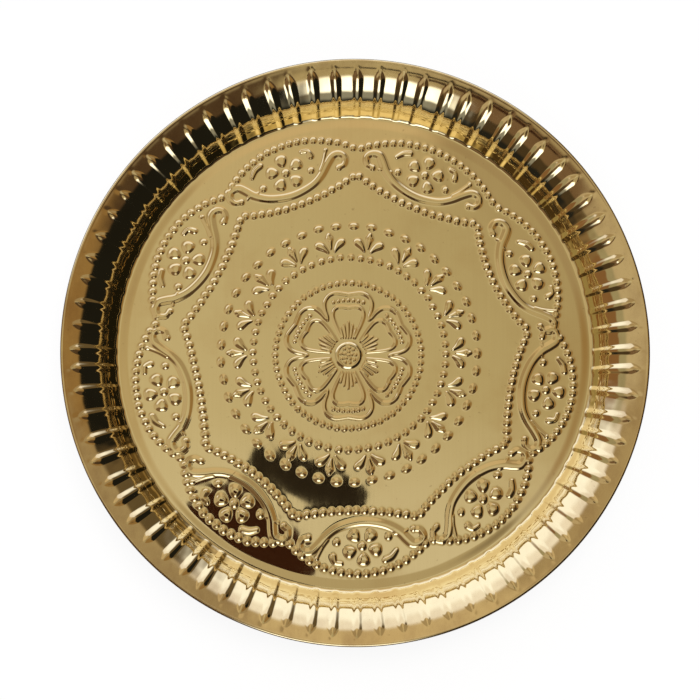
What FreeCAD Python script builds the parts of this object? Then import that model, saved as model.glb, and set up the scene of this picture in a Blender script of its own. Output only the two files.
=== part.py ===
"""Round brass serving tray: one pressed and fluted sheet with a wired edge.

The tray is made of two pieces. tray_pan is the brass sheet: a flat embossed floor, a flared wall stiffened by
narrow ribs, a plain lip and an edge that is rolled into a bead. rim_wire is the steel wire inside that bead.

Millimetres. The origin is the centre of the floor's underside, where the tray rests, and +Z is up.
"""

import FreeCAD, Part
import math
import os

import Sketcher

PARTS = "parts"

# Driving dimensions, in millimetres, degrees and counts. Each becomes an aliased cell of the sheet "Dims".
DIMENSIONS = {
    "rim_radius": 150.0,  # outside of the rolled bead
    "lip_height": 22.0,  # top of the plain lip above the resting plane
    "lip_slope": 13.0,  # the lip still rises this much where it meets the bead
    "gauge": 0.5,  # thickness of the brass sheet
    "foot_fillet": 2.5,  # inside radius between floor and wall
    "flare_radius": 31.0,  # the wall curves outwards to the lip on this radius
    "crease_radius": 1.2,  # small hollow between the lip and the bead
    "bead_radius": 1.15,  # outside of the rolled edge
    "bead_reach": 1.15,  # from the crease's centre to the bead's centre
    "wire_radius": 0.55,
    "wire_gap_angle": 0.5,  # the wire's two ends stop short of each other
    "rib_count": 76,
    "rib_angle": 1.8,  # width of one rib, seen from the tray's axis
    "rib_height": 0.7,
    "rib_foot_slope": 70.0,  # wall slope where the rib's crest begins
    "rib_head_slope": 24.0,  # wall slope where the crest ends
    "rib_tip_slope": 18.0,  # wall slope where the rib has run out
    "floor_radius": 119.0,  # the embossed disc that the wall is drawn up from
    "relief_height": 0.6,  # embossing above the floor
}

# Round beads on the floor: radius of the ring, turn in degrees, radius of a bead, number in the ring.
BEAD_RINGS = {
    "inner_beads": (38.0, 0.0, 1.45, 62),
    "outer_beads": (50.4, 3.0, 1.75, 60),
}

# Raised leaves and petals, oval in plan: distance from the axis, turn in degrees, half length along the
# radius, half width across it, number around the floor.
OVALS = {
    "rosette_petals": (21.5, 30.0, 10.5, 8.6, 6),
    "spray_buds": (61.5, 0.0, 2.7, 1.6, 18),
    "spray_left_leaves": (58.3, 5.3, 3.2, 1.7, 18),
    "spray_right_leaves": (58.3, -5.3, 3.2, 1.7, 18),
    "dashes": (67.0, 4.0, 1.75, 2.4, 45),
    "floret_eyes": (101.0, -10.0, 2.2, 2.1, 9),
    "floret_top_petals": (107.8, -10.0, 3.1, 2.8, 9),
    "floret_upper_left_petals": (103.3, -6.3, 2.8, 3.0, 9),
    "floret_upper_right_petals": (103.3, -13.7, 2.8, 3.0, 9),
    "floret_lower_left_petals": (95.8, -7.6, 3.0, 2.7, 9),
    "floret_lower_right_petals": (95.8, -12.4, 3.0, 2.7, 9),
}

# Raised bands that frame the nine panels: radius of the band's arc, distance of the arc's centre from the
# axis, half of its opening in degrees, its width, and whether it bulges away from the axis.
PANEL_COUNT = 9
PANEL_TURN = -10.0
PANEL_BANDS = {
    "panel_inner_bands": (81.2, 165.2, 21.5, 3.4, False),
    "panel_outer_bands": (57.5, 59.0, 37.5, 3.2, True),
}


def make_sheet(doc):
    sheet = doc.addObject("Spreadsheet::Sheet", "Dims")
    for row, (name, value) in enumerate(DIMENSIONS.items(), start=1):
        sheet.set(f"A{row}", name)
        sheet.set(f"B{row}", str(value))
        sheet.setAlias(f"B{row}", name)
    doc.recompute()
    return sheet


class Section:
    """Centres and slopes of the arcs that make the sheet's section, in the X-Z half plane."""

    def __init__(self, d):
        self.gauge = d.gauge
        self.lip_slope = math.radians(d.lip_slope)
        rise, run = math.cos(self.lip_slope), math.sin(self.lip_slope)
        self.bead_centre = FreeCAD.Vector(d.rim_radius - d.bead_radius, 0, 0)
        crease_x = self.bead_centre.x - d.bead_reach
        drop = math.sqrt((d.crease_radius + d.bead_radius) ** 2 - d.bead_reach**2)
        self.crease_centre = FreeCAD.Vector(crease_x, d.lip_height + d.crease_radius * rise, 0)
        self.bead_centre.y = self.crease_centre.y - drop
        flare_x = crease_x + (d.crease_radius + d.flare_radius) * run
        self.flare_centre = FreeCAD.Vector(flare_x, d.lip_height - d.flare_radius * rise, 0)
        foot_z = d.gauge + d.foot_fillet
        span = d.foot_fillet + d.flare_radius
        rise = foot_z - self.flare_centre.y
        self.foot_centre = FreeCAD.Vector(flare_x - math.sqrt(span**2 - rise**2), foot_z, 0)
        self.wall_slope = math.acos(rise / span)
        self.bead_turn = math.asin(d.bead_reach / (d.crease_radius + d.bead_radius))


def origin_plane(body, role):
    return next(f for f in body.Origin.OriginFeatures if f.Role == role)


def new_body(doc, label):
    body = doc.addObject("PartDesign::Body", label)
    body.Label = label
    return body


def new_feature(body, kind, name):
    """A solid feature that keeps its seams, because merging faces is slow on this many of them."""
    feature = body.newObject("PartDesign::" + kind, name)
    feature.Refine = False
    return feature


def new_sketch(body, name, role="XZ_Plane"):
    sketch = body.newObject("Sketcher::SketchObject", name)
    sketch.AttachmentSupport = [(origin_plane(body, role), "")]
    sketch.MapMode = "FlatFace"
    return sketch


def add_arc(sketch, centre, radius, start, end):
    """An arc that runs counter-clockwise from start to end, both in radians."""
    circle = Part.Circle(centre, FreeCAD.Vector(0, 0, 1), radius)
    return sketch.addGeometry(Part.ArcOfCircle(circle, start, end), False)


def add_line(sketch, start, end):
    return sketch.addGeometry(Part.LineSegment(start, end), False)


def bind(sketch, name, expression):
    sketch.setExpression(f"Constraints.{name}", expression)


def polar(centre, radius, angle):
    return centre + FreeCAD.Vector(radius * math.cos(angle), radius * math.sin(angle), 0)


def revolve(body, sketch, name, angle, groove=False, midplane=False):
    feature = new_feature(body, "Groove" if groove else "Revolution", name)
    feature.Profile = sketch
    feature.ReferenceAxis = (sketch, ["V_Axis"])
    feature.Midplane = midplane
    feature.setExpression("Angle", angle)
    return feature


def ring_pattern(doc, body, name, originals, count):
    """Repeats features around the tray's axis."""
    pattern = new_feature(body, "PolarPattern", name)
    pattern.Originals = originals
    pattern.Axis = (origin_plane(body, "Z_Axis"), [""])
    pattern.Angle = 360
    if isinstance(count, str):
        pattern.setExpression("Occurrences", count)
    else:
        pattern.Occurrences = count
    body.Tip = pattern
    doc.recompute()
    return pattern


def draw_sheet_section(body, s, d):
    """The closed outline of the wall's sheet, out to the rolled edge, held by tangency and radii."""
    sketch = new_sketch(body, "wall_section")
    up, slope, lip, turn = math.pi / 2, s.wall_slope, s.lip_slope, s.bead_turn
    start, floor_end = d.floor_radius, s.foot_centre.x
    faces = []
    for depth, floor_z in ((0.0, s.gauge), (s.gauge, 0.0)):
        line = add_line(sketch, FreeCAD.Vector(start, floor_z, 0), FreeCAD.Vector(floor_end, floor_z, 0))
        foot = add_arc(sketch, s.foot_centre, d.foot_fillet + depth, -up, slope - up)
        flare = add_arc(sketch, s.flare_centre, d.flare_radius - depth, up + lip, up + slope)
        crease = add_arc(sketch, s.crease_centre, d.crease_radius + depth, lip - up, turn - up)
        bead = add_arc(sketch, s.bead_centre, d.bead_radius - depth, -math.pi, up + turn)
        faces.append((line, foot, flare, crease, bead))
    inner_end = polar(s.bead_centre, d.bead_radius - s.gauge, math.pi)
    outer_end = polar(s.bead_centre, d.bead_radius, math.pi)
    edge = add_line(sketch, outer_end, inner_end)
    seam = add_line(sketch, FreeCAD.Vector(start, 0, 0), FreeCAD.Vector(start, s.gauge, 0))

    constrain = sketch.addConstraint
    for line, foot, flare, crease, bead in faces:
        constrain(Sketcher.Constraint("Horizontal", line))
        constrain(Sketcher.Constraint("Tangent", line, 2, foot, 1))
        constrain(Sketcher.Constraint("Tangent", foot, 2, flare, 2))
        constrain(Sketcher.Constraint("Tangent", flare, 1, crease, 1))
        constrain(Sketcher.Constraint("Tangent", crease, 2, bead, 2))
    upper, under = faces
    for top, bottom in zip(upper[1:], under[1:]):
        constrain(Sketcher.Constraint("Coincident", top, 3, bottom, 3))
    constrain(Sketcher.Constraint("Coincident", edge, 1, upper[4], 1))
    constrain(Sketcher.Constraint("Coincident", edge, 2, under[4], 1))
    constrain(Sketcher.Constraint("Horizontal", edge))
    constrain(Sketcher.Constraint("Horizontal", edge, 1, upper[4], 3))
    constrain(Sketcher.Constraint("Coincident", seam, 1, under[0], 1))
    constrain(Sketcher.Constraint("Coincident", seam, 2, upper[0], 1))
    constrain(Sketcher.Constraint("PointOnObject", seam, 1, -1))
    constrain(Sketcher.Constraint("Vertical", seam))

    sizes = {
        "gauge": Sketcher.Constraint("DistanceY", seam, 1, seam, 2, s.gauge),
        "floor_radius": Sketcher.Constraint("DistanceX", -1, 1, seam, 1, start),
        "foot_fillet": Sketcher.Constraint("Radius", upper[1], d.foot_fillet),
        "flare_radius": Sketcher.Constraint("Radius", upper[2], d.flare_radius),
        "crease_radius": Sketcher.Constraint("Radius", upper[3], d.crease_radius),
        "bead_radius": Sketcher.Constraint("Radius", upper[4], d.bead_radius),
        "lip_height": Sketcher.Constraint("DistanceY", -1, 1, upper[2], 1, d.lip_height),
        "bead_reach": Sketcher.Constraint("DistanceX", upper[3], 3, upper[4], 3, d.bead_reach),
        "bead_centre": Sketcher.Constraint("DistanceX", -1, 1, upper[4], 3, s.bead_centre.x),
        "flare_centre": Sketcher.Constraint("DistanceX", -1, 1, upper[2], 3, s.flare_centre.x),
    }
    for name, constraint in sizes.items():
        sketch.renameConstraint(constrain(constraint), name)
        if name not in ("bead_centre", "flare_centre"):
            bind(sketch, name, f"Dims.{name}")
    bind(sketch, "bead_centre", "Dims.rim_radius - Dims.bead_radius")
    bind(
        sketch,
        "flare_centre",
        "Dims.rim_radius - Dims.bead_radius - Dims.bead_reach"
        " + (Dims.crease_radius + Dims.flare_radius) * sin(Dims.lip_slope * 1deg)",
    )
    return sketch


def draw_rib(body, s, d):
    """A rib's side view: from the sheet's middle up to a crest that runs out at the lip."""
    sketch = new_sketch(body, "rib_side")
    up, half = math.pi / 2, s.gauge / 2
    foot_slope, head_slope, tip_slope = (
        math.radians(a) for a in (d.rib_foot_slope, d.rib_head_slope, d.rib_tip_slope)
    )
    crest_radius = d.flare_radius + d.rib_height
    core_radius = d.flare_radius - half
    crest_foot = polar(s.flare_centre, crest_radius, up + foot_slope)
    crest_head = polar(s.flare_centre, crest_radius, up + head_slope)
    tip = polar(s.flare_centre, core_radius, up + tip_slope)
    inner_foot = FreeCAD.Vector(crest_foot.x, half, 0)
    floor_end = FreeCAD.Vector(s.foot_centre.x, half, 0)
    add_arc(sketch, s.flare_centre, crest_radius, up + head_slope, up + foot_slope)
    add_line(sketch, crest_head, tip)
    add_arc(sketch, s.flare_centre, core_radius, up + tip_slope, up + s.wall_slope)
    foot_start = math.asin((inner_foot.x - floor_end.x) / (d.foot_fillet + half))
    add_arc(sketch, s.foot_centre, d.foot_fillet + half, foot_start - up, s.wall_slope - up)
    add_line(sketch, crest_foot, polar(s.foot_centre, d.foot_fillet + half, foot_start - up))
    return sketch


def draw_rib_hollow(body, s, d):
    """The hollow behind a rib, which leaves the rib as thick as the sheet."""
    sketch = new_sketch(body, "rib_hollow_side")
    up = math.pi / 2
    low, high = up + math.radians(d.rib_foot_slope - 6), up + math.radians(d.rib_head_slope + 1)
    deep, shallow = d.flare_radius + d.rib_height - s.gauge, d.flare_radius - s.gauge - 1.0
    add_arc(sketch, s.flare_centre, deep, high, low)
    add_arc(sketch, s.flare_centre, shallow, high, low)
    for angle in (low, high):
        add_line(sketch, polar(s.flare_centre, deep, angle), polar(s.flare_centre, shallow, angle))
    return sketch


def add_bead(body, name, radius, turn, bead_radius):
    """The first bead of a ring: a spherical cap that stands on the floor, rooted in the sheet's middle."""
    height = "Dims.relief_height"
    ball = f"(({bead_radius}mm ^ 2 + {height} ^ 2 * 1mm ^ 2) / (2mm * {height}))"
    bead = new_feature(body, "AdditiveSphere", name + "_first")
    bead.setExpression("Radius", ball)
    bead.setExpression("Angle1", f"asin(1 - ({height} + Dims.gauge / 2) * 1mm / {ball})")
    bead.AttachmentSupport = [(origin_plane(body, "XY_Plane"), "")]
    bead.MapMode = "FlatFace"
    rotation = FreeCAD.Rotation(FreeCAD.Vector(0, 0, 1), turn)
    bead.AttachmentOffset = FreeCAD.Placement(rotation.multVec(FreeCAD.Vector(radius, 0, 0)), rotation)
    bead.setExpression(".AttachmentOffset.Base.z", f"(Dims.gauge + {height}) * 1mm - {ball}")
    return bead


def add_pad(body, name, sketch):
    """Raises a sketch that lies in the sheet's middle to the height of the embossing."""
    sketch.setExpression(".AttachmentOffset.Base.z", "Dims.gauge / 2")
    pad = new_feature(body, "Pad", name + "_first")
    pad.Profile = sketch
    pad.setExpression("Length", "Dims.gauge / 2 + Dims.relief_height")
    return pad


def add_oval(body, name, radius, turn, half_length, half_width):
    sketch = new_sketch(body, name + "_outline", "XY_Plane")
    along = math.radians(turn)
    centre = polar(FreeCAD.Vector(0, 0, 0), radius, along)
    ends = [polar(centre, half_length, along), polar(centre, half_width, along + math.pi / 2)]
    if half_width > half_length:
        ends.reverse()
    sketch.addGeometry(Part.Ellipse(ends[0], ends[1], centre), False)
    return add_pad(body, name, sketch)


def add_band(body, name, radius, centre_distance, half_opening, width, outwards):
    sketch = new_sketch(body, name + "_outline", "XY_Plane")
    half = math.radians(half_opening)
    turn = math.radians(PANEL_TURN)
    facing = turn if outwards else turn + math.pi
    centre = polar(FreeCAD.Vector(0, 0, 0), centre_distance, turn)
    inner, outer = radius - width / 2, radius + width / 2
    add_arc(sketch, centre, inner, facing - half, facing + half)
    add_arc(sketch, centre, outer, facing - half, facing + half)
    for angle in (facing - half, facing + half):
        add_line(sketch, polar(centre, inner, angle), polar(centre, outer, angle))
    return add_pad(body, name, sketch)


def make_floor(doc, d):
    """The embossed disc: a rosette, beads, sprays and dashes in the middle, nine framed florets around it."""
    body = new_body(doc, "embossed_floor")
    sketch = new_sketch(body, "floor_outline", "XY_Plane")
    circle = Part.Circle(FreeCAD.Vector(0, 0, 0), FreeCAD.Vector(0, 0, 1), d.floor_radius)
    outline = sketch.addGeometry(circle, False)
    sketch.addConstraint(Sketcher.Constraint("Coincident", outline, 3, -1, 1))
    radius = sketch.addConstraint(Sketcher.Constraint("Radius", outline, d.floor_radius))
    sketch.renameConstraint(radius, "floor_radius")
    bind(sketch, "floor_radius", "Dims.floor_radius")
    blank = new_feature(body, "Pad", "floor_blank")
    blank.Profile = sketch
    blank.setExpression("Length", "Dims.gauge")
    doc.recompute()

    for name, (radius, turn, bead_radius, count) in BEAD_RINGS.items():
        bead = add_bead(body, name, radius, turn, bead_radius)
        doc.recompute()
        ring_pattern(doc, body, name, [bead], count)
    for name, (radius, turn, half_length, half_width, count) in OVALS.items():
        oval = add_oval(body, name, radius, turn, half_length, half_width)
        doc.recompute()
        ring_pattern(doc, body, name, [oval], count)
    for name, band in PANEL_BANDS.items():
        pad = add_band(body, name, *band)
        doc.recompute()
        ring_pattern(doc, body, name, [pad], PANEL_COUNT)
    return body


def make_wall(doc, s, d):
    """The flared wall with its ribs, the lip and the rolled edge."""
    body = new_body(doc, "ribbed_wall")
    revolve(body, draw_sheet_section(body, s, d), "wall", "360")
    doc.recompute()
    rib = revolve(body, draw_rib(body, s, d), "rib", "Dims.rib_angle", midplane=True)
    ring_pattern(doc, body, "ribs", [rib], "Dims.rib_count")
    skin = f"{math.degrees(s.gauge / d.rim_radius):.4f}"
    hollow = revolve(
        body,
        draw_rib_hollow(body, s, d),
        "rib_hollow",
        f"Dims.rib_angle - 2 * {skin}",
        groove=True,
        midplane=True,
    )
    ring_pattern(doc, body, "rib_hollows", [hollow], "Dims.rib_count")
    return body


def make_pan(doc, s, d):
    """Joins floor and wall, which are one sheet, along the edge of the flat floor."""
    pan = doc.addObject("Part::MultiFuse", "tray_pan")
    pan.Shapes = [make_floor(doc, d), make_wall(doc, s, d)]
    pan.Refine = False
    doc.recompute()
    return pan


def make_wire(doc, s, d):
    """A ring of round wire inside the bead, with a small gap where its ends meet."""
    body = new_body(doc, "rim_wire")
    sketch = new_sketch(body, "wire_section")
    circle = Part.Circle(s.bead_centre, FreeCAD.Vector(0, 0, 1), d.wire_radius)
    wire = sketch.addGeometry(circle, False)
    sizes = {
        "wire_radius": (Sketcher.Constraint("Radius", wire, d.wire_radius), "Dims.wire_radius"),
        "ring_radius": (
            Sketcher.Constraint("DistanceX", -1, 1, wire, 3, s.bead_centre.x),
            "Dims.rim_radius - Dims.bead_radius",
        ),
        "ring_height": (
            Sketcher.Constraint("DistanceY", -1, 1, wire, 3, s.bead_centre.y),
            "Dims.lip_height + Dims.crease_radius * cos(Dims.lip_slope * 1deg) - "
            "sqrt((Dims.crease_radius + Dims.bead_radius) ^ 2 - Dims.bead_reach ^ 2)",
        ),
    }
    for name, (constraint, expression) in sizes.items():
        sketch.renameConstraint(sketch.addConstraint(constraint), name)
        bind(sketch, name, expression)
    revolve(body, sketch, "wire", "360 - Dims.wire_gap_angle")
    doc.recompute()
    return body


def check(doc, bodies):
    """Stops if any feature failed or any piece isn't one valid closed solid."""
    for o in doc.Objects:
        if {"Invalid", "Error"} & set(o.State):
            raise SystemExit(f"{o.Label} failed: {o.State}")
    for body in bodies:
        shape = body.Shape
        if shape.isNull() or not shape.isValid() or len(shape.Solids) != 1:
            raise SystemExit(f"{body.Label} isn't one valid solid")
        box = shape.optimalBoundingBox()
        print(
            f"{body.Label}: {shape.Volume:.1f} mm3, {len(shape.Faces)} faces, "
            f"X {box.XMin:.2f} to {box.XMax:.2f}, Z {box.ZMin:.2f} to {box.ZMax:.2f}"
        )


def main():
    doc = FreeCAD.newDocument("BrassTray")
    dims = make_sheet(doc)
    section = Section(dims)
    bodies = [make_pan(doc, section, dims), make_wire(doc, section, dims)]
    doc.recompute()
    check(doc, bodies)
    print(f"floor radius {section.foot_centre.x:.2f}, wall slope {math.degrees(section.wall_slope):.1f}")
    os.makedirs(PARTS, exist_ok=True)
    for body in bodies:
        body.Shape.exportStep(os.path.join(PARTS, body.Label + ".step"))


main()
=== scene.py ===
"""Looks of the round brass tray: the embossed and ribbed sheet in full detail, its wire and the studio.

Lengths of the sheet are millimetres, and those of the materials and the studio are metres. Angles in tables
are degrees, and bearings count from +X towards +Y.
"""

import math

import bpy
import numpy as np
from mathutils import Matrix, Vector


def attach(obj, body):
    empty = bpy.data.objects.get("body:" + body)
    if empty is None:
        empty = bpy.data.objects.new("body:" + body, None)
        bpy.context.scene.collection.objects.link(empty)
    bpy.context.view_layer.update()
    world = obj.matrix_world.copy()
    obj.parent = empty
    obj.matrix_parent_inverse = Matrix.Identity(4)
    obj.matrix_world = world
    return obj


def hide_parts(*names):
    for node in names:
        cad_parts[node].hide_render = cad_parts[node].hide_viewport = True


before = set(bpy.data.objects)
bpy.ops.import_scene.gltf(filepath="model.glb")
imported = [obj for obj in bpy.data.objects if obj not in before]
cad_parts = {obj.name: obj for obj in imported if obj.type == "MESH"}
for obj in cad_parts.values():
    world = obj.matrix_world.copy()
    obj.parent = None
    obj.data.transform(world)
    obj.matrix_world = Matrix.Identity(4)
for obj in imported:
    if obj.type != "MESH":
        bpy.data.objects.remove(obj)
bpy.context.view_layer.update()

MM = 0.001
rng = np.random.default_rng(7)

# ---------------------------------------------------------------------------------------------------------
# The sheet's section and its wall
# ---------------------------------------------------------------------------------------------------------

GAUGE = 0.5
RIM_RADIUS = 150.0
LIP_HEIGHT = 22.0
LIP_SLOPE = math.radians(13)
FOOT_FILLET = 2.5
FLARE_RADIUS = 31.0
CREASE_RADIUS = 1.2
BEAD_RADIUS = 1.15
BEAD_REACH = 1.15
GRID = 800  # divisions across the floor's grid; the wall has four times as many columns
FOOT_RINGS, FLARE_RINGS, CREASE_RINGS, EDGE_RINGS = 12, 48, 4, 22  # of vertices, along the section's arcs
SWELL = 0.12  # how much the sheet has risen around the punch marks, as a part of their height
FLOOR_RISE = 0.12  # of the floor above its edge, to keep its dents off the table
UNDER_LOSS = 0.1  # how much shallower the punch marks are on the under face, as a part of their height

RIB_COUNT = 76
RIB_HEIGHT = 0.72
RIB_HALF_WIDTH = 3.25
RIB_SLIP, RIB_LEAN = 0.055, 0.05  # spread of their places and of their lean, as parts of a step
RIB_STRENGTH = (0.86, 1.12)  # lightest and heaviest stroke
RIB_TIPS = (15.2, 17.8)  # slopes of the sheet where they run out, in degrees
RIB_DENTS = (0.04, 0.14)  # depths of the dents at their tips
MID_RADIUS = 136.0  # of the wall, where the ribs' widths and the dents' lengths are measured
TIP_RADIUS = 145.0  # of the wall, where the ribs run out
WALL_SEED, RIB_SEED = 12, 31
# Dents around the wall: waves in a full turn, and their height.
WALL_WAVES = [(7, 0.05), (23, 0.035), (61, 0.012), (97, 0.010), (131, 0.008), (173, 0.006)]

# ---------------------------------------------------------------------------------------------------------
# Embossing: where the punches were struck
# ---------------------------------------------------------------------------------------------------------

ROSETTE_CENTRE = (-3.9, -2.25)
RING_CENTRE = (-3.2, -1.1)  # the outer rings were laid out a little off the rosette

# Panels: angle and distance of the floret from the rosette's centre.
PANELS = [
    (149.7, 98.5),
    (108.9, 101.8),
    (67.0, 103.9),
    (24.5, 104.3),
    (-9.8, 105.3),
    (-46.8, 102.7),
    (-85.8, 99.2),
    (-127.4, 97.0),
    (-168.7, 97.7),
]
# Points of the star between the panels: angle and distance of the inner beads' corners from the same centre.
CORNERS = [
    (169.8, 87.6),
    (127.7, 92.1),
    (87.6, 96.2),
    (45.7, 97.6),
    (8.0, 95.8),
    (-29.0, 94.9),
    (-66.4, 91.3),
    (-108.4, 88.2),
    (-147.2, 87.9),
]


def ease(x):
    """0 below 0, 1 above 1 and a smooth step between them."""
    x = np.clip(x, 0.0, 1.0)
    return x * x * (3.0 - 2.0 * x)


def dome(t, flat=0.3):
    """A bump over -1 < t < 1, nearly level where t is under flat."""
    t = abs(t)
    return ease((1.0 - t) / (1.0 - flat)) * (1.0 - 0.15 * np.clip(t, 0, 1) ** 2)


def smooth_line(points, steps):
    """Catmull-Rom samples through (x, y, half width) points."""
    p = np.array([points[0], *points, points[-1]], float)
    out = []
    for a, b, c, d in zip(p, p[1:], p[2:], p[3:]):
        for t in np.linspace(0, 1, steps, endpoint=False):
            square, cube = 2 * a - 5 * b + 4 * c - d, 3 * b - a - 3 * c + d
            out.append(0.5 * (2 * b + (c - a) * t + square * t**2 + cube * t**3))
    out.append(p[-1])
    return np.array(out)


def along(x, y, line):
    """Distance to a line of (x, y, half width) points, and the half width at the nearest place."""
    best = np.full(x.shape, 1e9)
    near = np.full(x.shape, 1e9)
    width = np.ones(x.shape)
    for (ax, ay, aw), (bx, by, bw) in zip(line, line[1:]):
        dx, dy = bx - ax, by - ay
        squared = dx * dx + dy * dy + 1e-12
        s = np.clip(((x - ax) * dx + (y - ay) * dy) / squared, 0, 1)
        d = np.hypot(x - ax - s * dx, y - ay - s * dy)
        w = aw + (bw - aw) * s
        closer = d - w < best
        best = np.where(closer, d - w, best)
        near = np.where(closer, d, near)
        width = np.where(closer, w, width)
    return near, width


def ridge(x, y, line, height):
    """A raised line of (x, y, half width) points."""
    d, w = along(x, y, line)
    return height * dome(d / w)


def ribbon(x, y, line, height, edge, soft_edge):
    """A flat-topped band. The shoulder towards rising y is edge wide, the other one soft_edge wide."""
    d, w = along(x, y, line)
    up, _ = along(x, y + 0.05, line)
    side = ease(0.5 + 12 * (up - d))
    return height * ease((w - d) / (soft_edge + (edge - soft_edge) * side))


class Relief:
    """Height of the punch marks above the plain floor, at points x, y."""

    def __init__(self, x, y):
        self.x, self.y = x, y
        self.h = np.zeros(x.shape)

    def raise_to(self, height, where):
        """Raise the points in where to at least the given height."""
        self.h[where] = np.maximum(self.h[where], height)

    def ring(self, centre, count, phase, reach):
        """Coordinates in each of count equal sectors: out along its middle, across it, and its number."""
        dx, dy = self.x - centre[0], self.y - centre[1]
        r = np.hypot(dx, dy)
        where = np.nonzero((r > reach[0]) & (r < reach[1]))[0]
        dx, dy, r = dx[where], dy[where], r[where]
        step = 2 * math.pi / count
        turn = np.arctan2(dy, dx) - math.radians(phase)
        number = np.round(turn / step).astype(int)
        off = turn - number * step
        return where, r * np.cos(off), r * np.sin(off), number % count

    def beads(self, centre, radius, count, phase, size, height):
        """A ring of round beads, each a little out of its place and struck more or less hard."""
        where, p, q, n = self.ring(centre, count, phase, (radius - 4, radius + 4))
        slip = rng.normal(0, 0.12, (count, 2))
        strength = rng.uniform(0.8, 1.1, count)
        d = np.hypot(p - radius - slip[n, 0], q - slip[n, 1])
        self.raise_to(height * strength[n] * dome(d / (size * (0.9 + 0.1 * strength[n]))), where)

    def bead_row(self, points, size, height):
        """Round beads at the given points, with the same small faults."""
        for (x, y), strength in zip(points, rng.uniform(0.85, 1.1, len(points))):
            cx, cy = x + rng.normal(0, 0.1), y + rng.normal(0, 0.1)
            where = np.nonzero((abs(self.x - cx) < size) & (abs(self.y - cy) < size))[0]
            d = np.hypot(self.x[where] - cx, self.y[where] - cy)
            self.raise_to(height * strength * dome(d / size), where)


def arc_points(a, m, b, pitch, trim):
    """Points a pitch apart on the circular arc from a through m to b, leaving trim free at both ends."""
    a, m, b = (np.array(v, float) for v in (a, m, b))
    lhs = 2 * np.array([m - a, b - a])
    rhs = np.array([m @ m - a @ a, b @ b - a @ a])
    centre = np.linalg.solve(lhs, rhs)
    radius = np.linalg.norm(a - centre)
    start, mid, end = (math.atan2(*(v - centre)[::-1]) for v in (a, m, b))
    start, end = ((v - mid + math.pi) % (2 * math.pi) - math.pi for v in (start, end))
    cut = trim / radius * math.copysign(1, end - start)
    start, end = start + cut, end - cut
    count = max(2, round(abs(end - start) * radius / pitch) + 1)
    return [
        (centre[0] + radius * math.cos(mid + t), centre[1] + radius * math.sin(mid + t))
        for t in np.linspace(start, end, count)
    ]


def from_rosette(angle, distance):
    """The point at an angle and a distance from the rosette's centre."""
    a = math.radians(angle)
    return (
        ROSETTE_CENTRE[0] + distance * math.cos(a),
        ROSETTE_CENTRE[1] + distance * math.sin(a),
    )


BOSS_RADIUS, BOSS_HEIGHT = 5.9, 0.42
BOSS_RIM_HALF_WIDTH, BOSS_RIM_HEIGHT = 1.1, 0.62
SEED_RINGS = [(1, 0.0, 0), (5, 1.9, 15), (9, 3.9, 5)]  # number, radius, turn of the first
SEED_RADIUS, SEED_HEIGHT = 0.95, 0.34
PETALS = 6
# The petals' outlines, along a petal and across its upper half: distance, offset, half width of the punch.
OUTER_OUTLINE = [
    (32.0, 0.0, 0.75),
    (32.6, 3.5, 0.75),
    (32.8, 7.0, 0.75),
    (31.2, 10.4, 0.75),
    (27.8, 12.4, 0.75),
    (24.0, 12.2, 0.7),
    (20.5, 11.0, 0.6),
    (18.6, 10.7, 0.55),
]
INNER_OUTLINE = [
    (25.0, 0.0, 0.7),
    (25.5, 2.6, 0.7),
    (25.3, 5.6, 0.7),
    (23.6, 7.6, 0.7),
    (20.6, 8.1, 0.65),
    (16.5, 6.8, 0.6),
    (12.5, 5.0, 0.5),
    (9.0, 3.4, 0.4),
]
OUTLINE_SPREAD = 1.45  # how much wider than the punch its line is
RAYS = [  # turn, start, end
    (-16, 9.8, 14.6),
    (-8, 9.4, 16.0),
    (0, 9.2, 17.4),
    (8, 9.4, 16.0),
    (16, 9.8, 14.6),
]
DOTS, DOT_PITCH, DOT_DISTANCE = 7, 2.6, 29.0  # the row between a petal's two outlines


def emboss_rosette(relief):
    """The boss in the middle and its six petals."""
    # Boss with its rim and seeds.
    where, p, q, n = relief.ring(ROSETTE_CENTRE, 1, 0, (-1, 12))
    r = np.hypot(p, q)
    relief.raise_to(BOSS_HEIGHT * ease((BOSS_RADIUS + 0.5 - r) / BOSS_RIM_HALF_WIDTH), where)
    relief.raise_to(BOSS_RIM_HEIGHT * dome((r - BOSS_RADIUS) / BOSS_RIM_HALF_WIDTH), where)
    for count, radius, phase in SEED_RINGS:
        for k in range(count):
            a = math.radians(phase + 360 * k / count) + rng.normal(0, 0.06)
            d = np.hypot(p - radius * math.cos(a), q - radius * math.sin(a))
            seed = BOSS_HEIGHT + SEED_HEIGHT * dome(d / SEED_RADIUS)
            relief.raise_to(np.where(d < SEED_RADIUS, seed, 0), where)

    # Six petals, each with two outlines, rays at its foot and a row of dots.
    where, p, q, n = relief.ring(ROSETTE_CENTRE, PETALS, 30, (6.5, 38))
    for outline, height in ((OUTER_OUTLINE, 0.38), (INNER_OUTLINE, 0.34)):
        line = smooth_line([(u, v, OUTLINE_SPREAD * w) for u, v, w in outline], 4)
        relief.raise_to(ridge(p, abs(q), line, height), where)
    for turn, start, end in RAYS:
        c, s = math.cos(math.radians(turn)), math.sin(math.radians(turn))
        line = [(d * c, d * s, w) for d, w in ((start, 0.5), (0.5 * (start + end), 0.75), (end, 0.5))]
        relief.raise_to(ridge(p, q, line, 0.36), where)
    for k in range(DOTS):
        across = (k - DOTS // 2) * DOT_PITCH
        out = DOT_DISTANCE - 0.018 * across**2
        size = rng.uniform(1.0, 1.25, PETALS)
        d = np.hypot(p - out, q - across)
        relief.raise_to(0.42 * dome(d / size[n]), where)


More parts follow.
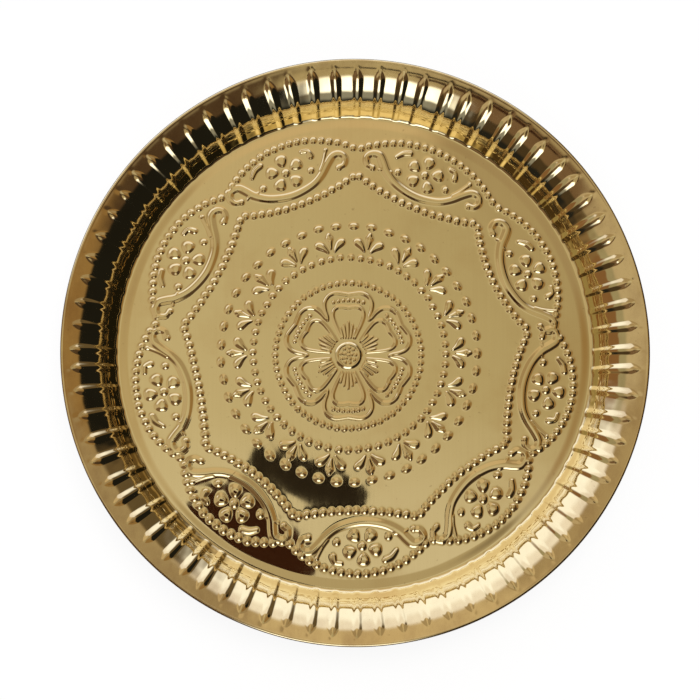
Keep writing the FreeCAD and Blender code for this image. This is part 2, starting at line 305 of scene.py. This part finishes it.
BEAD_RINGS = [  # centre, radius, number, turn of the first, size and height of a bead
    (ROSETTE_CENTRE, 38.1, 62, 0, 1.8, 0.42),
    (RING_CENTRE, 50.4, 60, 5.4, 2.1, 0.48),
]
SPRAYS, DASHES = 18, 45
FIRST_TURN = 0.2  # of the sprays and of the dashes
BUD = [(56.0, 0, 0.5), (58.6, 0, 1.3), (61.3, 0, 2.4), (63.2, 0, 1.2), (64.0, 0, 0.5)]
LEAF = [(54.2, 1.7, 0.5), (56.0, 3.0, 1.3), (57.8, 4.8, 2.3), (58.5, 6.0, 2.3), (58.6, 7.0, 1.4)]
EYE_DISTANCE, EYE_RADIUS = 61.2, 0.9
DASH_DISTANCE, DASH_HALF_DEPTH, DASH_HALF_LENGTH = 67.1, 2.15, 3.1


def emboss_rings(relief):
    """The two rings of beads, and the sprays and dashes outside them."""
    for ring in BEAD_RINGS:
        relief.beads(*ring)

    # Sprays: a bud with an eye between two leaves.
    where, p, q, n = relief.ring(RING_CENTRE, SPRAYS, FIRST_TURN, (52, 68))
    slip = rng.normal(0, 0.18, (SPRAYS, 2))
    p, q = p - slip[n, 0], q - slip[n, 1]
    height = ridge(p, q, BUD, 0.5)
    eye = np.hypot(p - EYE_DISTANCE, q)
    height = np.where(eye < EYE_RADIUS, 0.32 + 0.3 * dome(eye / 0.7), height)
    relief.raise_to(height, where)
    for side in (-1, 1):
        relief.raise_to(ridge(p, side * q, smooth_line(LEAF, 3), 0.55), where)

    # Dashes.
    where, p, q, n = relief.ring(RING_CENTRE, DASHES, FIRST_TURN, (63, 71))
    slip = rng.normal(0, 0.15, (DASHES, 2))
    p, q = p - slip[n, 0], q - slip[n, 1]
    relief.raise_to(0.5 * dome(np.hypot((p - DASH_DISTANCE) / DASH_HALF_DEPTH, q / DASH_HALF_LENGTH)), where)


# One panel's punch. Across is counter-clockwise, out is away from the middle, both from the floret's eye.
# Lines and blobs are across, out, and half width or size.
RIBBON = [
    (27.4, -6.8, 1.65),
    (30.6, -6.4, 1.85),
    (32.2, -3.2, 2.05),
    (30.4, -0.2, 2.25),
    (26.6, 0.6, 2.55),
    (23.4, -2.2, 2.65),
    (20.0, -6.0, 2.65),
    (14.0, -9.8, 2.55),
    (7.0, -12.0, 2.55),
    (0.0, -12.8, 2.55),
    (-7.0, -12.0, 2.45),
    (-13.0, -10.2, 2.35),
    (-18.0, -7.0, 2.35),
    (-22.6, -2.6, 2.45),
    (-26.8, 0.4, 2.35),
    (-30.4, 0.0, 2.15),
    (-32.2, -3.2, 1.95),
    (-30.6, -6.2, 1.75),
    (-27.4, -6.6, 1.85),
]
THIN_LINES = [
    [(-17.4, -4.6, 0.6), (-20.4, -1.2, 0.65), (-23.8, 4.2, 0.7)],
    [(17.0, -5.0, 0.6), (21.6, -5.4, 0.6), (24.0, -6.6, 0.5)],
]
FLORET = [  # across, out, and the direction its head points to
    (0.2, 6.7, 90),
    (6.6, 2.3, 18),
    (-6.4, 2.4, 162),
    (4.6, -4.9, -50),
    (-3.6, -5.4, -126),
]
COMMAS = [
    [(17.6, 3.4, 1.1), (14.8, 6.6, 1.7), (11.4, 8.0, 1.8)],
    [(-11.4, 8.0, 1.1), (-14.6, 7.2, 1.3), (-15.4, 4.2, 2.0)],
]
BLOBS = [(14.0, -3.9, 2.0), (-13.0, -3.1, 1.9), (-24.0, 4.6, 1.1), (27.2, -6.8, 1.7), (-27.4, -6.6, 1.7)]
PETAL_HALF_LENGTH, PETAL_HALF_WIDTH, PETAL_TAPER = 3.7, 3.25, 0.38
BEAD_PITCH = 4.4
INNER_ROW, OUTER_ROW = 18.3, 14.2  # distances of the two rows of beads from the floret's eye


def emboss_panel(relief, angle, distance, turn):
    """A panel's ribbon, curls, commas and floret about its eye; turn is the punch's small error."""
    cx, cy = from_rosette(angle, distance)
    a = math.radians(angle + turn)
    dx, dy = relief.x - cx, relief.y - cy
    out = dx * math.cos(a) + dy * math.sin(a)
    across = dy * math.cos(a) - dx * math.sin(a)
    where = np.nonzero((abs(across) < 36) & (out > -17) & (out < 13))[0]
    out, across = out[where], across[where]
    relief.raise_to(ribbon(across, out, smooth_line(RIBBON, 4), 0.46, 1.1, 2.5), where)
    for line in THIN_LINES:
        relief.raise_to(ridge(across, out, smooth_line(line, 3), 0.42), where)
    for line in COMMAS:
        relief.raise_to(ridge(across, out, smooth_line(line, 4), 0.55), where)
    for u, v, size in BLOBS:
        relief.raise_to(0.55 * dome(np.hypot(across - u, out - v) / (1.1 * size)), where)
    for u, v, heading in FLORET:
        h = math.radians(heading)
        x = (across - u) * math.cos(h) + (out - v) * math.sin(h)
        y = (out - v) * math.cos(h) - (across - u) * math.sin(h)
        taper = PETAL_TAPER * np.clip(x, -PETAL_HALF_LENGTH, PETAL_HALF_LENGTH)
        petal = np.hypot(x / PETAL_HALF_LENGTH, y / (PETAL_HALF_WIDTH + taper))
        relief.raise_to(0.6 * dome(petal, 0.5), where)
    relief.raise_to(0.6 * dome(np.hypot(across, out) / 2.5, 0.35), where)


def emboss_panels(relief):
    """The nine panels and the two rows of beads around each of them."""
    for k, (angle, distance) in enumerate(PANELS):
        start, end = CORNERS[k], CORNERS[(k + 1) % len(CORNERS)]
        middle = from_rosette(angle, distance - INNER_ROW)
        inner = arc_points(from_rosette(*start), middle, from_rosette(*end), BEAD_PITCH, 2.1)
        relief.bead_row(inner, 2.35, 0.56)
        first = from_rosette(start[0] - 1.2, start[1] + OUTER_ROW)
        middle = from_rosette(angle, distance + OUTER_ROW)
        last = from_rosette(end[0] + 1.2, end[1] + OUTER_ROW)
        relief.bead_row(arc_points(first, middle, last, BEAD_PITCH, 0.0), 2.25, 0.54)
        emboss_panel(relief, angle, distance, rng.normal(0, 0.8))


def waves(x, y, size, height, seed):
    """Gentle unevenness: a few waves of about the given length in random directions."""
    r = np.random.default_rng(seed)
    total = np.zeros(x.shape)
    for _ in range(9):
        a, f = r.uniform(0, 2 * math.pi), 2 * math.pi / (size * r.uniform(0.7, 1.6))
        total += np.sin(f * (x * math.cos(a) + y * math.sin(a)) + r.uniform(0, 6.28)) / 3
    return height * total


# ---------------------------------------------------------------------------------------------------------
# The sheet as one closed mesh
# ---------------------------------------------------------------------------------------------------------


def disc_grid(n):
    """Points of a square grid mapped evenly onto the unit disc."""
    a, b = np.meshgrid(np.linspace(-1, 1, n + 1), np.linspace(-1, 1, n + 1), indexing="xy")
    wide = abs(a) > abs(b)
    safe_a, safe_b = np.where(a == 0, 1, a), np.where(b == 0, 1, b)
    r = np.where(wide, a, b)
    angle = np.where(wide, math.pi / 4 * b / safe_a, math.pi / 2 - math.pi / 4 * a / safe_b)
    return r * np.cos(angle), r * np.sin(angle)


def grid_border(n):
    """Indices of the grid's border, counter-clockwise from the corner at -45 degrees."""
    j = np.arange(n)
    right, top = j * (n + 1) + n, n * (n + 1) + n - j
    left, bottom = (n - j) * (n + 1), j
    return np.concatenate([right, top, left, bottom])


def soften(h, n, times):
    """The heights of the grid, smoothed over and over with their neighbours."""
    h = h.reshape(n + 1, n + 1)
    for _ in range(times):
        for axis in (0, 1):
            padded = np.pad(h, [(1, 1) if k == axis else (0, 0) for k in (0, 1)], mode="edge")
            low = padded.take(range(0, n + 1), axis)
            mid = padded.take(range(1, n + 2), axis)
            high = padded.take(range(2, n + 3), axis)
            h = 0.25 * low + 0.5 * mid + 0.25 * high
    return h.ravel()


def wall_section():
    """Rings of the wall from the floor's upper face, over the rim and back to its under face.

    Each is (radius, height, slope of the sheet there).
    """
    bead_x = RIM_RADIUS - BEAD_RADIUS
    crease_x = bead_x - BEAD_REACH
    crease_z = LIP_HEIGHT + CREASE_RADIUS * math.cos(LIP_SLOPE)
    bead_z = crease_z - math.sqrt((CREASE_RADIUS + BEAD_RADIUS) ** 2 - BEAD_REACH**2)
    flare_x = crease_x + (CREASE_RADIUS + FLARE_RADIUS) * math.sin(LIP_SLOPE)
    flare_z = LIP_HEIGHT - FLARE_RADIUS * math.cos(LIP_SLOPE)
    foot_z = GAUGE + FOOT_FILLET
    span, rise = FOOT_FILLET + FLARE_RADIUS, foot_z - flare_z
    foot_x = flare_x - math.sqrt(span**2 - rise**2)
    slope = math.acos(rise / span)
    turn = math.asin(BEAD_REACH / (CREASE_RADIUS + BEAD_RADIUS))
    rings = []
    for depth in (0.0, GAUGE):
        out = []
        for a in np.linspace(0, slope, FOOT_RINGS):
            r = FOOT_FILLET + depth
            out.append((foot_x + r * math.sin(a), foot_z - r * math.cos(a), a))
        for a in np.linspace(slope, LIP_SLOPE, FLARE_RINGS)[1:]:
            r = FLARE_RADIUS - depth
            out.append((flare_x - r * math.sin(a), flare_z + r * math.cos(a), a))
        for a in np.linspace(LIP_SLOPE, turn, CREASE_RINGS)[1:]:
            r = CREASE_RADIUS + depth
            out.append((crease_x + r * math.sin(a), crease_z - r * math.cos(a), 0.0))
        for a in np.linspace(math.pi / 2 + turn, -math.pi, EDGE_RINGS)[1:]:
            r = BEAD_RADIUS - depth
            out.append((bead_x + r * math.cos(a), bead_z + r * math.sin(a), 0.0))
        rings.append(out)
    upper, lower = rings
    return upper + lower[::-1]


def rib_height(angle, slope):
    """How far the ribs stand out of the wall at each angle, for a ring where the sheet has that slope."""
    r = np.random.default_rng(RIB_SEED)
    step = 2 * math.pi / RIB_COUNT
    slip = r.normal(0, RIB_SLIP, RIB_COUNT) * step
    strength = r.uniform(*RIB_STRENGTH, RIB_COUNT)
    tip = np.radians(r.uniform(*RIB_TIPS, RIB_COUNT))
    lean = r.normal(0, RIB_LEAN, RIB_COUNT) * step
    dent = r.uniform(*RIB_DENTS, RIB_COUNT)
    number = np.round(angle / step).astype(int) % RIB_COUNT
    crest = number * step + slip[number] + lean[number] * (slope - 0.6)
    off = (angle - crest + math.pi) % (2 * math.pi) - math.pi
    inward = (slope - tip[number]) * FLARE_RADIUS
    rise = ease(inward / 6.0)
    half_width = RIB_HALF_WIDTH * (0.24 + 0.76 * ease((inward + 0.5) / 6.5))
    half_width = half_width * (1 - 0.15 * ease((slope - 0.6) / 0.4))
    across = np.clip(abs(off) * MID_RADIUS / half_width, 0, 1)
    low = 1 - 0.35 * ease((slope - 0.8) / 0.4)
    lift = RIB_HEIGHT * strength[number] * rise * low * (0.5 + 0.5 * np.cos(math.pi * across**1.1))
    # The punch left a shallow dent where each rib runs out.
    hollow = np.exp(-((inward - 0.2) ** 2) / 3.2 - (off * TIP_RADIUS) ** 2 / 1.8)
    return lift - dent[number] * hollow * ease((slope - LIP_SLOPE) / 0.04)


def wall_unevenness(angle, slope):
    """Dents of the hand-worked wall: long ones, and short ones that grow towards the foot."""
    total = np.zeros(angle.shape)
    r = np.random.default_rng(WALL_SEED)
    for cycles, height in WALL_WAVES:
        for _ in range(3):
            k = round(cycles * r.uniform(0.8, 1.25))
            lengthwise = r.uniform(-1.0, 1.0) * k / MID_RADIUS
            total += height * np.sin(k * angle + lengthwise * slope * FLARE_RADIUS + r.uniform(0, 6.28))
    calm = ease((slope - LIP_SLOPE) / 0.12) * (0.45 + 0.55 * ease((slope - 0.45) / 0.5))
    return total * calm


def build_sheet():
    """Vertices in metres and quads of the sheet: upper floor, wall and rim and back, under floor."""
    n = GRID
    gx, gy = disc_grid(n)
    section = wall_section()
    foot_x = section[0][0]
    x, y = gx.ravel() * foot_x, gy.ravel() * foot_x
    relief = Relief(x, y)
    emboss_rosette(relief)
    emboss_rings(relief)
    emboss_panels(relief)
    h = soften(relief.h, n, 2)
    swell = soften(relief.h, n, 28)
    radius = np.hypot(x, y)
    calm = ease((foot_x - radius) / 5.0)
    uneven = (waves(x, y, 55, 0.035, 3) + waves(x, y, 16, 0.004, 4) + SWELL * swell) * calm
    shape = h + uneven + FLOOR_RISE * calm
    top = np.stack([x, y, GAUGE + shape], 1)
    under = np.stack([x, y, np.maximum(shape - UNDER_LOSS * h, 0.0)], 1)

    columns = 4 * n
    angle = -math.pi / 4 + np.arange(columns) * 2 * math.pi / columns
    c, s = np.cos(angle), np.sin(angle)
    rings = []
    wall_slope = max(ring[2] for ring in section)
    turned = angle % (2 * math.pi)
    at_foot = rib_height(turned, wall_slope)
    for r, z, slope in section[1:-1]:
        if r < foot_x + FOOT_FILLET * math.sin(wall_slope) + 0.6:  # the ribs fade out over the fillet
            lift = at_foot * ease(slope / wall_slope)
        else:
            lift = rib_height(turned, slope) if slope > 0 else np.zeros(columns)
        radial = r - lift * math.sin(slope) + wall_unevenness(angle, slope)
        rings.append(np.stack([radial * c, radial * s, z + lift * math.cos(slope)], 1))

    border = grid_border(n)
    disc = (n + 1) ** 2
    vertices = np.concatenate([top, *rings, under])
    ring_start = disc + np.arange(len(rings)) * columns
    loops = [border, *(start + np.arange(columns) for start in ring_start)]
    loops.append(disc + len(rings) * columns + border)

    row = np.arange(n)
    corner = (row[:, None] * (n + 1) + row[None, :]).ravel()
    quad = np.stack([corner, corner + 1, corner + n + 2, corner + n + 1], 1)
    faces = [quad]
    for inner, outer in zip(loops, loops[1:]):
        faces.append(np.stack([inner, outer, np.roll(outer, -1), np.roll(inner, -1)], 1))
    faces.append(quad[:, ::-1] + disc + len(rings) * columns)
    return vertices * MM, np.concatenate(faces)


def mesh_object(name, vertices, faces):
    """A smooth-shaded object in the scene, from vertices and quads."""
    mesh = bpy.data.meshes.new(name)
    mesh.vertices.add(len(vertices))
    mesh.vertices.foreach_set("co", vertices.astype(np.float32).ravel())
    mesh.loops.add(faces.size)
    mesh.loops.foreach_set("vertex_index", faces.astype(np.int32).ravel())
    mesh.polygons.add(len(faces))
    mesh.polygons.foreach_set("loop_start", np.arange(0, faces.size, 4, dtype=np.int32))
    mesh.polygons.foreach_set("use_smooth", np.ones(len(faces), bool))
    mesh.update(calc_edges=True)
    mesh.validate()
    obj = bpy.data.objects.new(name, mesh)
    bpy.context.scene.collection.objects.link(obj)
    return obj


# ---------------------------------------------------------------------------------------------------------
# Materials
# ---------------------------------------------------------------------------------------------------------

LIP_INNER, LIP_OUTER = 0.128, 0.143  # from the axis, where the lip's dullness begins and where it is full


class Nodes:
    """Short names for building a node tree."""

    def __init__(self, tree):
        self.tree = tree
        tree.nodes.clear()

    def add(self, kind, **settings):
        node = self.tree.nodes.new(kind)
        for name, value in settings.items():
            setattr(node, name, value)
        return node

    def link(self, source, target):
        self.tree.links.new(source, target)

    def put(self, socket, value):
        if isinstance(value, bpy.types.NodeSocket):
            self.link(value, socket)
        elif value is not None:
            socket.default_value = value

    def math(self, operation, a, b=None, c=None):
        node = self.add("ShaderNodeMath", operation=operation)
        for socket, value in zip(node.inputs, (a, b, c)):
            self.put(socket, value)
        return node.outputs[0]

    def band(self, value, low, high, soft):
        """1 between low and high, easing to 0 outside them."""
        up = self.add("ShaderNodeMapRange", interpolation_type="SMOOTHSTEP")
        down = self.add("ShaderNodeMapRange", interpolation_type="SMOOTHSTEP")
        for node, edge, ends in ((up, low, (0.0, 1.0)), (down, high, (1.0, 0.0))):
            self.put(node.inputs["Value"], value)
            node.inputs["From Min"].default_value = edge - soft
            node.inputs["From Max"].default_value = edge + soft
            node.inputs["To Min"].default_value, node.inputs["To Max"].default_value = ends
        return self.math("MULTIPLY", up.outputs[0], down.outputs[0])

    def mix(self, factor, a, b, blend="MIX"):
        node = self.add("ShaderNodeMix", data_type="RGBA", blend_type=blend)
        self.put(node.inputs[0], factor)
        self.put(node.inputs[6], a)
        self.put(node.inputs[7], b)
        return node.outputs[2]

    def noise(self, vector, scale, detail, roughness=0.55):
        node = self.add("ShaderNodeTexNoise")
        self.put(node.inputs["Vector"], vector)
        node.inputs["Scale"].default_value = scale
        node.inputs["Detail"].default_value = detail
        node.inputs["Roughness"].default_value = roughness
        return node.outputs["Fac"]

    def stretch(self, vector, scale):
        node = self.add("ShaderNodeMapping")
        self.put(node.inputs["Vector"], vector)
        node.inputs["Scale"].default_value = scale
        return node.outputs[0]

    def map(self, value, low, high, to_low, to_high):
        node = self.add("ShaderNodeMapRange")
        self.put(node.inputs["Value"], value)
        for name, v in zip(("From Min", "From Max", "To Min", "To Max"), (low, high, to_low, to_high)):
            node.inputs[name].default_value = v
        return node.outputs[0]


def brass_material():
    """Polished brass with rolling lines, stains and specks, duller on the lip."""
    material = bpy.data.materials.new("polished_brass")
    material.use_nodes = True
    n = Nodes(material.node_tree)
    place = n.add("ShaderNodeTexCoord").outputs["Object"]
    # Rolling lines run along Y: noise squeezed across it.
    lines = n.noise(n.stretch(place, (900, 14, 60)), 1.0, 4, 0.6)
    coarse = n.noise(n.stretch(place, (160, 5, 30)), 1.0, 3, 0.6)
    stain = n.noise(place, 16, 5, 0.62)
    speck = n.noise(place, 420, 2, 0.5)

    clean = (0.88, 0.705, 0.37, 1)
    warm = (0.74, 0.52, 0.24, 1)
    dull = n.map(stain, 0.52, 0.74, 0.0, 0.55)
    colour = n.mix(dull, clean, warm)
    colour = n.mix(n.map(lines, 0.35, 0.75, 0.0, 0.08), colour, (0.60, 0.42, 0.20, 1))
    colour = n.mix(n.map(speck, 0.70, 0.80, 0.0, 0.35), colour, (0.30, 0.19, 0.09, 1))

    # The floor is mirror-bright; the handled lip is duller and stained.
    parts = n.add("ShaderNodeSeparateXYZ")
    n.link(place, parts.inputs[0])
    squares = [n.math("POWER", parts.outputs[name], 2.0) for name in "XY"]
    lip = n.map(n.math("SQRT", n.math("ADD", *squares)), LIP_INNER, LIP_OUTER, 0.0, 1.0)
    rough = n.math("ADD", n.map(lines, 0.3, 0.75, 0.025, 0.045), n.map(coarse, 0.35, 0.7, 0.0, 0.01))
    rough = n.math("ADD", rough, n.math("MULTIPLY", dull, 0.06))
    rough = n.math("ADD", rough, n.math("MULTIPLY", lip, 0.055))
    patina = n.map(n.noise(n.stretch(place, (70, 45, 60)), 1.0, 6, 0.68), 0.42, 0.70, 0.0, 0.55)
    colour = n.mix(n.math("MULTIPLY", lip, patina), colour, (0.52, 0.36, 0.19, 1))

    height = n.math("ADD", n.math("MULTIPLY", lines, 0.5), coarse)
    bump = n.add("ShaderNodeBump")
    bump.inputs["Strength"].default_value = 0.03
    bump.inputs["Distance"].default_value = 0.00006
    n.link(height, bump.inputs["Height"])

    shader = n.add("ShaderNodeBsdfPrincipled")
    shader.inputs["Metallic"].default_value = 1.0
    n.link(colour, shader.inputs["Base Color"])
    n.link(rough, shader.inputs["Roughness"])
    n.link(bump.outputs[0], shader.inputs["Normal"])
    n.link(shader.outputs[0], n.add("ShaderNodeOutputMaterial").inputs["Surface"])
    return material


def wire_material():
    """Drawn steel wire with a little rust."""
    material = bpy.data.materials.new("drawn_wire")
    material.use_nodes = True
    n = Nodes(material.node_tree)
    place = n.add("ShaderNodeTexCoord").outputs["Object"]
    grain = n.noise(place, 900, 3)
    rust = n.noise(place, 60, 4)
    shader = n.add("ShaderNodeBsdfPrincipled")
    shader.inputs["Metallic"].default_value = 1.0
    steel, rusty = (0.5, 0.49, 0.47, 1), (0.22, 0.12, 0.07, 1)
    n.link(n.mix(n.map(rust, 0.5, 0.7, 0, 0.6), steel, rusty), shader.inputs["Base Color"])
    n.link(n.map(grain, 0.3, 0.7, 0.28, 0.5), shader.inputs["Roughness"])
    n.link(shader.outputs[0], n.add("ShaderNodeOutputMaterial").inputs["Surface"])
    return material


def floor_material():
    """The white table."""
    material = bpy.data.materials.new("studio_floor")
    material.use_nodes = True
    n = Nodes(material.node_tree)
    place = n.add("ShaderNodeTexCoord").outputs["Object"]
    shader = n.add("ShaderNodeBsdfPrincipled")
    tint = n.mix(n.noise(place, 3, 3), (0.88, 0.88, 0.87, 1), (0.92, 0.92, 0.915, 1))
    shader.inputs["Roughness"].default_value = 0.9
    shader.inputs["Specular IOR Level"].default_value = 0.1
    # Seen directly it is a lit white table, on which the tray's shadow hardly shows. Reflected, it is dark.
    glow = n.add("ShaderNodeEmission")
    direct = n.add("ShaderNodeLightPath").outputs["Is Camera Ray"]
    n.link(n.mix(direct, (0.10, 0.07, 0.045, 1), tint), shader.inputs["Base Color"])
    blend = n.add("ShaderNodeMixShader")
    n.link(n.math("MULTIPLY", direct, 0.86), blend.inputs[0])
    glow.inputs["Strength"].default_value = 1.03
    n.link(shader.outputs[0], blend.inputs[1])
    n.link(glow.outputs[0], blend.inputs[2])
    n.link(blend.outputs[0], n.add("ShaderNodeOutputMaterial").inputs["Surface"])
    return material


# ---------------------------------------------------------------------------------------------------------
# Studio
# ---------------------------------------------------------------------------------------------------------

FLOOR_HALF_SIZE = 4.0
FLOOR_DROP = 0.0002  # the table lies a hair below the tray, so that the two don't touch
CAMERA_DISTANCE = 0.70
CAMERA_TILT = 5.2  # from straight above
CAMERA_BEARING = 246.0  # the side it leans to
AIM = (-0.0038, -0.0012, 0.022)
FRAME_WIDTH = 0.3553  # at the rim
SENSOR_WIDTH = 36  # millimetres

ROOM = (0.26, 0.18, 0.10)  # where no patch below reaches
# Patches of the room, later ones over earlier ones: bearing, half width, lowest and highest elevation,
# softness of the edges, colour.
STUDIO = [
    (0, 30, 40, 90, 7, (0.32, 0.21, 0.095)),
    (316, 28, 40, 90, 7, (0.085, 0.055, 0.035)),
    (270, 24, 50, 90, 7, (0.50, 0.44, 0.31)),
    (225, 26, 36, 90, 7, (0.19, 0.125, 0.08)),
    (180, 26, 36, 90, 7, (0.55, 0.48, 0.37)),
    (180, 24, 22, 40, 6, (0.38, 0.36, 0.27)),
    (180, 18, -8, 24, 3, (0.25, 0.14, 0.07)),
    (135, 24, 40, 90, 7, (0.42, 0.34, 0.23)),
    (90, 24, 40, 90, 7, (0.64, 0.54, 0.39)),
    (45, 20, 40, 90, 7, (0.40, 0.33, 0.23)),
    (337, 52, -20, 45, 5, (0.013, 0.013, 0.012)),
    (228, 22, -20, 38, 5, (0.07, 0.05, 0.03)),
    (43, 14, -20, 40, 6, (0.13, 0.10, 0.06)),
    (107, 51, 20, 47, 7, (1.0, 1.03, 1.25)),
    (107, 51, -6, 27, 12, (1.2, 1.32, 1.7)),
    (250, 42, -20, 15, 7, (0.02, 0.02, 0.02)),
    (267, 18, 8, 40, 8, (0.30, 0.32, 0.35)),
    (267, 17, 25, 54, 6, (2.1, 2.3, 2.8)),
]
CARD_POINTS = 48  # around a card's edge
# Cards that only reflections see, the camera and whoever holds it: name, place from the camera, size, turn,
# colour.
CARDS = [
    ("camera_shade", (0.011, -0.016, 0.0), (0.124, 0.040), -23, (0.16, 0.17, 0.19)),
    ("figure_shade", (-0.050, -0.077, 0.01), (0.15, 0.070), -30, (0.30, 0.14, 0.11)),
]


def studio_world():
    """A room of soft patches under a pale ceiling: windows beyond and on the near side, dark on the right."""
    world = bpy.data.worlds.new("studio")
    bpy.context.scene.world = world
    world.use_nodes = True
    n = Nodes(world.node_tree)
    direction = n.add("ShaderNodeTexCoord").outputs["Generated"]
    split = n.add("ShaderNodeSeparateXYZ")
    n.link(direction, split.inputs[0])
    elevation = n.math("MULTIPLY", n.math("ARCSINE", split.outputs["Z"]), 180 / math.pi)

    def bearing(centre):
        turned = n.add("ShaderNodeVectorRotate", rotation_type="Z_AXIS")
        n.link(direction, turned.inputs["Vector"])
        turned.inputs["Angle"].default_value = -math.radians(centre)
        parts = n.add("ShaderNodeSeparateXYZ")
        n.link(turned.outputs[0], parts.inputs[0])
        return n.math("MULTIPLY", n.math("ARCTAN2", parts.outputs["Y"], parts.outputs["X"]), 180 / math.pi)

    colour = (*ROOM, 1)
    for centre, half, low, high, soft, shade in STUDIO:
        sideways = n.band(bearing(centre), -half, half, soft)
        mask = n.math("MULTIPLY", sideways, n.band(elevation, low, high, soft * 0.6))
        colour = n.mix(mask, colour, (*shade, 1))
    # The ceiling: paler to the left and the near side, and dull again at its left and near ends.
    overhead = n.band(elevation, 76, 200, 5)
    fall = n.math("ADD", split.outputs["X"], n.math("MULTIPLY", split.outputs["Y"], 0.6))
    ceiling = n.mix(n.map(fall, -0.3, 0.3, 0.0, 1.0), (0.70, 0.67, 0.56, 1), (0.46, 0.41, 0.28, 1))
    ceiling = n.mix(n.map(split.outputs["Y"], 0.04, -0.09, 0.0, 1.0), ceiling, (0.70, 0.68, 0.62, 1))
    ceiling = n.mix(n.map(split.outputs["X"], -0.10, -0.16, 0.0, 0.7), ceiling, (0.46, 0.37, 0.22, 1))
    ceiling = n.mix(n.map(split.outputs["Y"], -0.07, -0.10, 0.0, 0.8), ceiling, (0.42, 0.36, 0.24, 1))
    colour = n.mix(overhead, colour, ceiling)
    rays = n.add("ShaderNodeLightPath")
    # What is seen by way of two reflections is a little bluer, and duller on the near side.
    again = n.math("GREATER_THAN", rays.outputs["Ray Depth"], 2.5)
    colour = n.mix(again, colour, (0.97, 1.03, 1.16, 1), "MULTIPLY")
    near_side = n.band(bearing(270), -30, 30, 8)
    low_down = n.band(elevation, -90, 55, 5)
    again = n.math("MULTIPLY", again, n.math("MULTIPLY", near_side, low_down))
    colour = n.mix(n.math("MULTIPLY", again, 0.8), colour, (0.85, 0.80, 0.60, 1))
    # Seen directly there is a plain pale backdrop instead.
    seen = n.mix(rays.outputs["Is Camera Ray"], colour, (0.99, 0.99, 0.99, 1))
    background = n.add("ShaderNodeBackground")
    n.link(seen, background.inputs["Color"])
    n.link(background.outputs[0], n.add("ShaderNodeOutputWorld").inputs["Surface"])


def make_floor(material):
    """The table under the tray."""
    mesh = bpy.data.meshes.new("studio_floor")
    size = FLOOR_HALF_SIZE
    corners = [(-size, -size, 0), (size, -size, 0), (size, size, 0), (-size, size, 0)]
    mesh.from_pydata(corners, [], [(0, 1, 2, 3)])
    mesh.materials.append(material)
    floor = bpy.data.objects.new("studio_floor", mesh)
    floor.location.z = -FLOOR_DROP
    bpy.context.scene.collection.objects.link(floor)


def make_card(name, centre, size, turn, colour):
    """A level rectangular card with rounded corners, which only reflections see."""
    material = bpy.data.materials.new(name)
    material.use_nodes = True
    n = Nodes(material.node_tree)
    shader = n.add("ShaderNodeBsdfPrincipled")
    shader.inputs["Base Color"].default_value = (*colour, 1)
    shader.inputs["Roughness"].default_value = 0.9
    n.link(shader.outputs[0], n.add("ShaderNodeOutputMaterial").inputs["Surface"])
    mesh = bpy.data.meshes.new(name)
    turns = np.linspace(0, 2 * math.pi, CARD_POINTS + 1)[:-1]
    ring = []
    for along_x, along_y in zip(np.cos(turns), np.sin(turns)):
        x, y = (math.copysign(math.sqrt(abs(v)), v) for v in (along_x, along_y))
        ring.append((0.5 * size[0] * x, 0.5 * size[1] * y, 0))
    mesh.from_pydata(ring, [], [tuple(range(CARD_POINTS))])
    mesh.materials.append(material)
    card = bpy.data.objects.new(name, mesh)
    card.location = centre
    card.rotation_euler.z = math.radians(turn)
    card.visible_camera = card.visible_diffuse = card.visible_shadow = False
    bpy.context.scene.collection.objects.link(card)


def make_sun():
    """A broad soft sun for the dull surfaces, not seen in the brass."""
    light = bpy.data.lights.new("soft_key", "SUN")
    light.energy = 1.7
    light.angle = math.radians(50)
    light.color = (1, 0.995, 0.985)
    sun = bpy.data.objects.new("soft_key", light)
    sun.rotation_euler = (math.radians(-18), math.radians(8), 0)
    sun.visible_glossy = False
    bpy.context.scene.collection.objects.link(sun)


def make_camera():
    """The camera, nearly straight above. Returns its place."""
    tilt, bearing = math.radians(CAMERA_TILT), math.radians(CAMERA_BEARING)
    back = Vector((math.sin(tilt) * math.cos(bearing), math.sin(tilt) * math.sin(bearing), math.cos(tilt)))
    up = Vector((0, 1, 0))
    up = (up - up.dot(back) * back).normalized()
    right = up.cross(back)
    place = Vector(AIM) + back * CAMERA_DISTANCE
    data = bpy.data.cameras.new("camera")
    data.sensor_width = SENSOR_WIDTH
    data.lens = SENSOR_WIDTH * CAMERA_DISTANCE / FRAME_WIDTH
    camera = bpy.data.objects.new("camera", data)
    turn = Matrix((right, up, back)).transposed().to_4x4()
    camera.matrix_world = Matrix.Translation(place) @ turn
    bpy.context.scene.collection.objects.link(camera)
    bpy.context.scene.camera = camera
    return place


def main():
    brass = brass_material()
    sheet = mesh_object("tray_sheet", *build_sheet())
    sheet.data.materials.append(brass)
    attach(sheet, "root")
    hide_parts("tray_pan")
    steel = wire_material()
    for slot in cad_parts["rim_wire"].material_slots:
        slot.material = steel

    eye = make_camera()
    studio_world()
    make_sun()
    make_floor(floor_material())
    for name, offset, size, turn, colour in CARDS:
        make_card(name, eye + Vector(offset), size, turn, colour)
    bpy.context.scene.view_settings.view_transform = "Standard"


main()
